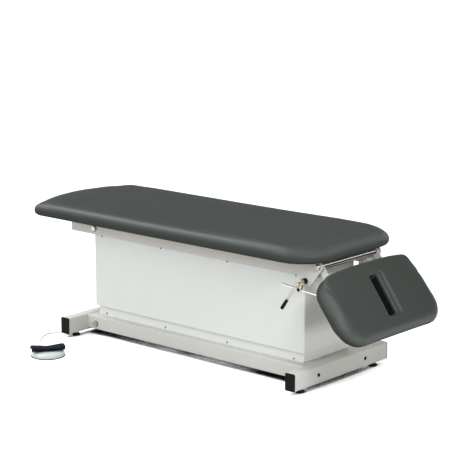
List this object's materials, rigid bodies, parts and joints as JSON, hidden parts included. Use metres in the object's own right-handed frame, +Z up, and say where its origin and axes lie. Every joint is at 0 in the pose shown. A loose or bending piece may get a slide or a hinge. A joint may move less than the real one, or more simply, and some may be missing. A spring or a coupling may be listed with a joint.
{
  "type": "treatment table",
  "caption": "Powered treatment table: cushioned top on a shrouded scissor lift, with a hinged drop section at the head end, a lever clamp and a corded foot switch.",
  "frame": {"origin": "centre of the footprint's box on the floor, foot switch included", "axes": "+X along the table towards the drop section, +Z up, the clamp lever and foot switch on the -Y side"},
  "size_m": [1.9456, 0.9894, 0.6222],
  "materials": {
    "powder_coat": "satin",
    "shroud_coat": "satin",
    "vinyl": "grained",
    "plywood": "raw",
    "black_plastic": "moulded",
    "black_rubber": "matt",
    "chrome": "polished",
    "zinc": "zinc plated",
    "bright_steel": "satin",
    "white_nylon": "moulded",
    "switch_shell": "satin",
    "navy_plastic": "moulded"
  },
  "bodies": {
    "base": {"tail_foot_tube": "powder_coat", "head_foot_tube": "powder_coat", "tail_near_foot_cap": "black_plastic", "tail_far_foot_cap": "black_plastic", "head_near_foot_cap": "black_plastic", "head_far_foot_cap": "black_plastic", "tail_near_levelling_foot": "black_rubber", "tail_far_levelling_foot": "black_rubber", "head_near_levelling_foot": "black_rubber", "head_far_levelling_foot": "black_rubber", "base_rail_near": "powder_coat", "base_rail_far": "powder_coat", "base_cross_tube": "powder_coat", "control_box": "black_plastic", "inner_shroud": "shroud_coat", "lower_pivot_shaft": "zinc", "base_track_near": "bright_steel", "base_track_far": "bright_steel", "cord_gland": "white_nylon", "switch_cord": "white_nylon", "cord_boot": "black_plastic", "switch_shell": "switch_shell", "pedal_pin": "bright_steel"},
    "outer_arms": {"outer_scissor_arms": "powder_coat", "scissor_centre_shaft": "bright_steel", "upper_roller_axle": "bright_steel"},
    "inner_arms": {"inner_scissor_arms": "powder_coat", "lower_roller_axle": "bright_steel"},
    "top": {"top_rail_near": "powder_coat", "top_rail_far": "powder_coat", "tail_cross_bar": "powder_coat", "head_cross_bar": "bright_steel", "upper_pivot_shaft": "zinc", "top_track_near": "bright_steel", "top_track_far": "bright_steel", "outer_shroud": "shroud_coat", "main_board": "plywood", "main_cushion": "vinyl", "hinge_gusset_near": "powder_coat", "hinge_gusset_far": "powder_coat", "hinge_rod": "chrome", "lever_collar": "black_plastic", "clamp_clevis": "zinc"},
    "drop_section": {"drop_arm_near": "powder_coat", "drop_arm_far": "powder_coat", "drop_board": "plywood", "drop_cushion": "vinyl", "rod_pin": "zinc"},
    "support_rod": {"support_rod": "chrome"},
    "rod_trunnion": {"rod_trunnion": "bright_steel"},
    "clamp_lever": {"clamp_lever": "bright_steel", "lever_grip": "black_plastic"},
    "actuator_body": {"actuator_body": "black_plastic"},
    "actuator_piston": {"actuator_piston": "chrome"},
    "upper_roller_near": {"upper_roller_near": "white_nylon"},
    "upper_roller_far": {"upper_roller_far": "white_nylon"},
    "lower_roller_near": {"lower_roller_near": "white_nylon"},
    "lower_roller_far": {"lower_roller_far": "white_nylon"},
    "pedal": {"switch_pedal": "navy_plastic"}
  },
  "joints": [
    {"name": "lift", "type": "hinge", "parent": "base", "child": "outer_arms", "pos_m": [-0.61037, 0.15625, 0.0565], "axis": [0, -1, 0], "range_deg": [-1.5, 15.4]},
    {"name": "scissor", "type": "hinge", "parent": "outer_arms", "child": "inner_arms", "pos_m": [-0.05517, 0.15625, 0.284], "axis": [0, -1, 0], "range_deg": [-30.8, 3]},
    {"name": "top_level", "type": "hinge", "parent": "inner_arms", "child": "top", "pos_m": [-0.61037, 0.15625, 0.5115], "axis": [0, -1, 0], "range_deg": [-1.5, 15.4]},
    {"name": "actuator_tilt", "type": "hinge", "parent": "base", "child": "actuator_body", "pos_m": [-0.06111, 0.15625, 0.085], "axis": [0, -1, 0], "range_deg": [-0.75, 7.7]},
    {"name": "piston_tilt", "type": "hinge", "parent": "outer_arms", "child": "actuator_piston", "pos_m": [-0.16987, 0.15625, 0.38582], "axis": [0, -1, 0], "range_deg": [-7.7, 0.75]},
    {"name": "drop", "type": "hinge", "parent": "top", "child": "drop_section", "pos_m": [0.70463, 0.15625, 0.5345], "axis": [0, -1, 0], "range_deg": [-35.5, 54.5]},
    {"name": "rod_swing", "type": "hinge", "parent": "drop_section", "child": "support_rod", "pos_m": [0.75358, -0.07975, 0.42237], "axis": [0, -1, 0], "range_deg": [-27.25, 17.75]},
    {"name": "trunnion_turn", "type": "hinge", "parent": "top", "child": "rod_trunnion", "pos_m": [0.63413, -0.07975, 0.4345], "axis": [0, -1, 0], "range_deg": [-17.75, 27.25]},
    {"name": "clamp_turn", "type": "hinge", "parent": "top", "child": "clamp_lever", "pos_m": [0.64063, -0.07975, 0.467], "axis": [0, 1, 0], "range_deg": [-45, 60]},
    {"name": "upper_roller_near_spin", "type": "hinge", "parent": "outer_arms", "child": "upper_roller_near", "pos_m": [0.50003, 0.00665, 0.5115], "axis": [0, 1, 0], "continuous": true},
    {"name": "upper_roller_far_spin", "type": "hinge", "parent": "outer_arms", "child": "upper_roller_far", "pos_m": [0.50003, 0.30585, 0.5115], "axis": [0, 1, 0], "continuous": true},
    {"name": "lower_roller_near_spin", "type": "hinge", "parent": "inner_arms", "child": "lower_roller_near", "pos_m": [0.50003, 0.01935, 0.0565], "axis": [0, 1, 0], "continuous": true},
    {"name": "lower_roller_far_spin", "type": "hinge", "parent": "inner_arms", "child": "lower_roller_far", "pos_m": [0.50003, 0.29315, 0.0565], "axis": [0, 1, 0], "continuous": true},
    {"name": "pedal_rock", "type": "hinge", "parent": "base", "child": "pedal", "pos_m": [-0.53737, -0.41875, 0.029], "axis": [-0.8271, 0.5621, 0], "range_deg": [-6, 6], "stiffness_Nm_per_rad": 2}
  ],
  "couplings": [
    {"joint": "scissor", "follows": "lift", "ratio": -2},
    {"joint": "top_level", "follows": "lift", "ratio": 1},
    {"joint": "actuator_tilt", "follows": "lift", "ratio": 0.5},
    {"joint": "piston_tilt", "follows": "lift", "ratio": -0.5},
    {"joint": "rod_swing", "follows": "drop", "ratio": -0.5},
    {"joint": "trunnion_turn", "follows": "drop", "ratio": 0.5}
  ]
}
